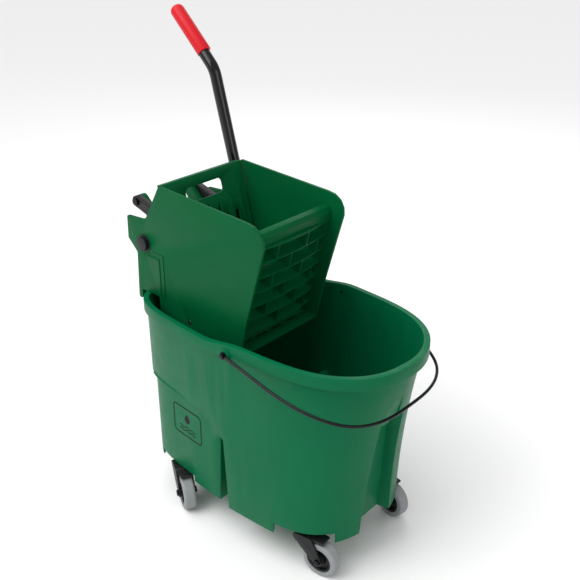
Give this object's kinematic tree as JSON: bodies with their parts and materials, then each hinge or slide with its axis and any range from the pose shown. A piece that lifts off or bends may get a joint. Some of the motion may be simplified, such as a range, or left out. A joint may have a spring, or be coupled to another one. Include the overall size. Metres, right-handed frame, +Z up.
{
  "type": "mop bucket with side-press wringer",
  "caption": "Wheeled mop bucket with a wire bail and a lever-operated side-press wringer that drops over its rear rim.",
  "frame": {"origin": "on the floor, under the middle of the whole outline", "axes": "+X to the deep round end of the bucket, -X to the wringer end, +Z up; Y = 0 is the plane of symmetry of bucket and wringer"},
  "size_m": [0.7732, 0.3764, 0.9865],
  "materials": {
    "green_plastic": "moulded, satin gloss",
    "wringer_plastic": "moulded, satin gloss",
    "black_enamel": "gloss enamel",
    "steel": "plated",
    "bail_steel": "blackened wire",
    "red_vinyl": "soft dipped vinyl",
    "black_plastic": "moulded",
    "grey_rubber": "non-marking grey rubber"
  },
  "bodies": {
    "tub": {"bucket_tub": "green_plastic", "bail_rivets": "steel", "caster_socket_front_left": "steel", "caster_socket_front_right": "steel", "caster_socket_rear_left": "steel", "caster_socket_rear_right": "steel"},
    "wringer": {"wringer_body": "wringer_plastic", "front_sieve": "wringer_plastic", "shaft_bushes": "black_plastic", "plate_rod": "steel"},
    "handle": {"cross_shaft": "steel", "shaft_caps": "black_plastic", "shaft_spacer": "black_plastic", "crank_arm_left": "wringer_plastic", "crank_arm_right": "wringer_plastic", "crank_pins": "steel", "handle_tube": "black_enamel", "handle_grip": "red_vinyl", "handle_hub": "black_plastic", "handle_bolt": "steel"},
    "link_left": {"link_left": "wringer_plastic", "link_pin_left": "steel"},
    "link_right": {"link_right": "wringer_plastic", "link_pin_right": "steel"},
    "press_plate": {"press_plate": "wringer_plastic"},
    "bail": {"bail_wire": "bail_steel"},
    "caster_front_left": {"caster_fork_front_left": "black_plastic", "caster_stem_front_left": "steel", "caster_axle_front_left": "steel"},
    "wheel_front_left": {"wheel_core_front_left": "black_plastic", "tyre_front_left": "grey_rubber"},
    "caster_front_right": {"caster_fork_front_right": "black_plastic", "caster_stem_front_right": "steel", "caster_axle_front_right": "steel"},
    "wheel_front_right": {"wheel_core_front_right": "black_plastic", "tyre_front_right": "grey_rubber"},
    "caster_rear_left": {"caster_fork_rear_left": "black_plastic", "caster_stem_rear_left": "steel", "caster_axle_rear_left": "steel"},
    "wheel_rear_left": {"wheel_core_rear_left": "black_plastic", "tyre_rear_left": "grey_rubber"},
    "caster_rear_right": {"caster_fork_rear_right": "black_plastic", "caster_stem_rear_right": "steel", "caster_axle_rear_right": "steel"},
    "wheel_rear_right": {"wheel_core_rear_right": "black_plastic", "tyre_rear_right": "grey_rubber"}
  },
  "joints": [
    {"name": "wringer_lift", "type": "slide", "parent": "tub", "child": "wringer", "axis": [0, 0, 1], "range_m": [0, 0.25]},
    {"name": "handle_swing", "type": "hinge", "parent": "wringer", "child": "handle", "pos_m": [-0.2003, 0, 0.569], "axis": [0, 1, 0], "range_deg": [0, 62]},
    {"name": "plate_swing", "type": "hinge", "parent": "wringer", "child": "press_plate", "pos_m": [-0.0763, 0, 0.43], "axis": [0, 1, 0], "range_deg": [0, 29]},
    {"name": "link_left_turn", "type": "hinge", "parent": "handle", "child": "link_left", "pos_m": [-0.2613, 0.073, 0.633], "axis": [0, 1, 0], "range_deg": [-57, 0]},
    {"name": "link_right_turn", "type": "hinge", "parent": "handle", "child": "link_right", "pos_m": [-0.2613, -0.073, 0.633], "axis": [0, 1, 0], "range_deg": [-57, 0]},
    {"name": "bail_swing", "type": "hinge", "parent": "tub", "child": "bail", "pos_m": [0.0897, 0, 0.45], "axis": [0, -1, 0], "range_deg": [0, 100]},
    {"name": "swivel_front_left", "type": "hinge", "parent": "tub", "child": "caster_front_left", "pos_m": [0.24109, 0.12257, 0.09], "axis": [0, 0, 1], "continuous": true},
    {"name": "spin_front_left", "type": "hinge", "parent": "caster_front_left", "child": "wheel_front_left", "pos_m": [0.2807, 0.117, 0.0381], "axis": [0.1392, 0.9903, 0], "continuous": true},
    {"name": "swivel_front_right", "type": "hinge", "parent": "tub", "child": "caster_front_right", "pos_m": [0.24109, -0.12257, 0.09], "axis": [0, 0, 1], "continuous": true},
    {"name": "spin_front_right", "type": "hinge", "parent": "caster_front_right", "child": "wheel_front_right", "pos_m": [0.2807, -0.117, 0.0381], "axis": [-0.1392, 0.9903, 0], "continuous": true},
    {"name": "swivel_rear_left", "type": "hinge", "parent": "tub", "child": "caster_rear_left", "pos_m": [-0.09962, 0.14222, 0.09], "axis": [0, 0, 1], "continuous": true},
    {"name": "spin_rear_left", "type": "hinge", "parent": "caster_rear_left", "child": "wheel_rear_left", "pos_m": [-0.0643, 0.161, 0.0381], "axis": [-0.4695, 0.8829, 0], "continuous": true},
    {"name": "swivel_rear_right", "type": "hinge", "parent": "tub", "child": "caster_rear_right", "pos_m": [-0.09962, -0.14222, 0.09], "axis": [0, 0, 1], "continuous": true},
    {"name": "spin_rear_right", "type": "hinge", "parent": "caster_rear_right", "child": "wheel_rear_right", "pos_m": [-0.0643, -0.161, 0.0381], "axis": [0.4695, 0.8829, 0], "continuous": true}
  ],
  "couplings": [
    {"joint": "plate_swing", "follows": "handle_swing", "ratio": 0.4656},
    {"joint": "link_left_turn", "follows": "handle_swing", "ratio": -0.918},
    {"joint": "link_right_turn", "follows": "handle_swing", "ratio": -0.918}
  ]
}
